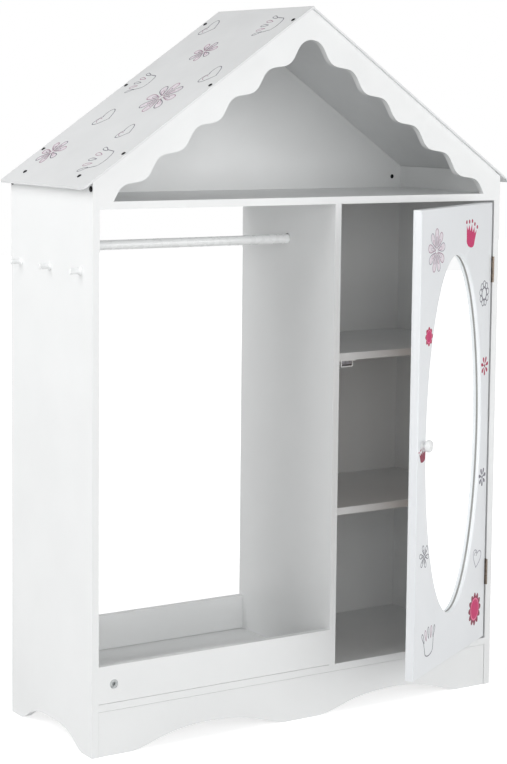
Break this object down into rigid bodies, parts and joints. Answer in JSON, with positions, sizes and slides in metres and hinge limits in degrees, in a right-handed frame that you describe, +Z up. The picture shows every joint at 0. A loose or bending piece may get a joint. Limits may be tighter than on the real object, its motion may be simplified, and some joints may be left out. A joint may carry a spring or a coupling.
{
  "type": "dress-up wardrobe",
  "caption": "Child's dress-up wardrobe shaped like a house, with a hanging bay over a shoe bin, shelved compartment, and a hinged door with an oval mirror.",
  "frame": {"origin": "on the floor, under the middle of the bounding box as it stands with the door ajar; x = 0 is the cabinet's middle plane", "axes": "+Z up, +X to the right seen from the front, +Y from the front to the back"},
  "size_m": [0.8394, 0.4586, 1.1832],
  "materials": {
    "painted_board": "white satin paint on fibreboard",
    "door_board": "white satin paint with printed motifs",
    "roof_sheet": "white satin paint on thin hardboard, printed motifs",
    "painted_wood": "white gloss paint on turned wood",
    "bare_wood": "bare beech",
    "cam_metal": "zinc plated",
    "dark_screw": "black oxide",
    "steel": "zinc plated",
    "magnet": "matt ceramic magnet",
    "hinge_brass": "antique brass plate",
    "white_plastic": "moulded white plastic",
    "foam_tape": "dark foam mounting tape",
    "backing_board": "brown hardboard",
    "mirror": "silvered glass"
  },
  "bodies": {
    "cabinet": {"left_side_panel": "painted_board", "right_side_panel": "painted_board", "top_shelf": "painted_board", "bottom_board": "painted_board", "centre_divider": "painted_board", "front_apron": "painted_board", "bin_front_rail": "painted_board", "bin_back_rail": "painted_board", "gable_fascia": "painted_board", "gable_back_panel": "painted_board", "compartment_back_panel": "painted_board", "upper_shelf": "painted_board", "lower_shelf": "painted_board", "left_roof_panel": "roof_sheet", "right_roof_panel": "roof_sheet", "hanging_rail": "painted_wood", "coat_peg_front": "painted_wood", "coat_peg_middle": "painted_wood", "coat_peg_rear": "painted_wood", "cam_locks": "cam_metal", "cam_dowels": "cam_metal", "wooden_dowels": "bare_wood", "roof_screws": "dark_screw", "gable_bolts": "dark_screw", "gable_barrel_nuts": "dark_screw", "catch_magnet": "magnet", "catch_pole_plates": "steel", "magnetic_catch": "white_plastic", "catch_screws": "steel", "upper_hinge_cabinet_leaf": "hinge_brass", "upper_hinge_pin": "hinge_brass", "lower_hinge_cabinet_leaf": "hinge_brass", "lower_hinge_pin": "hinge_brass", "hinge_cabinet_screws": "hinge_brass"},
    "door": {"door_panel": "door_board", "door_mirror": "mirror", "mirror_foam_tape": "foam_tape", "mirror_backing_board": "backing_board", "mirror_clips": "white_plastic", "mirror_clip_screws": "steel", "door_knob": "painted_wood", "knob_screw": "steel", "strike_plate": "steel", "strike_plate_screw": "steel", "upper_hinge_door_leaf": "hinge_brass", "lower_hinge_door_leaf": "hinge_brass", "hinge_door_screws": "hinge_brass"}
  },
  "joints": [
    {"name": "door_hinge", "type": "hinge", "parent": "cabinet", "child": "door", "pos_m": [0.3864, -0.06196, 0.47], "axis": [0, 0, 1], "range_deg": [-30, 140]}
  ]
}
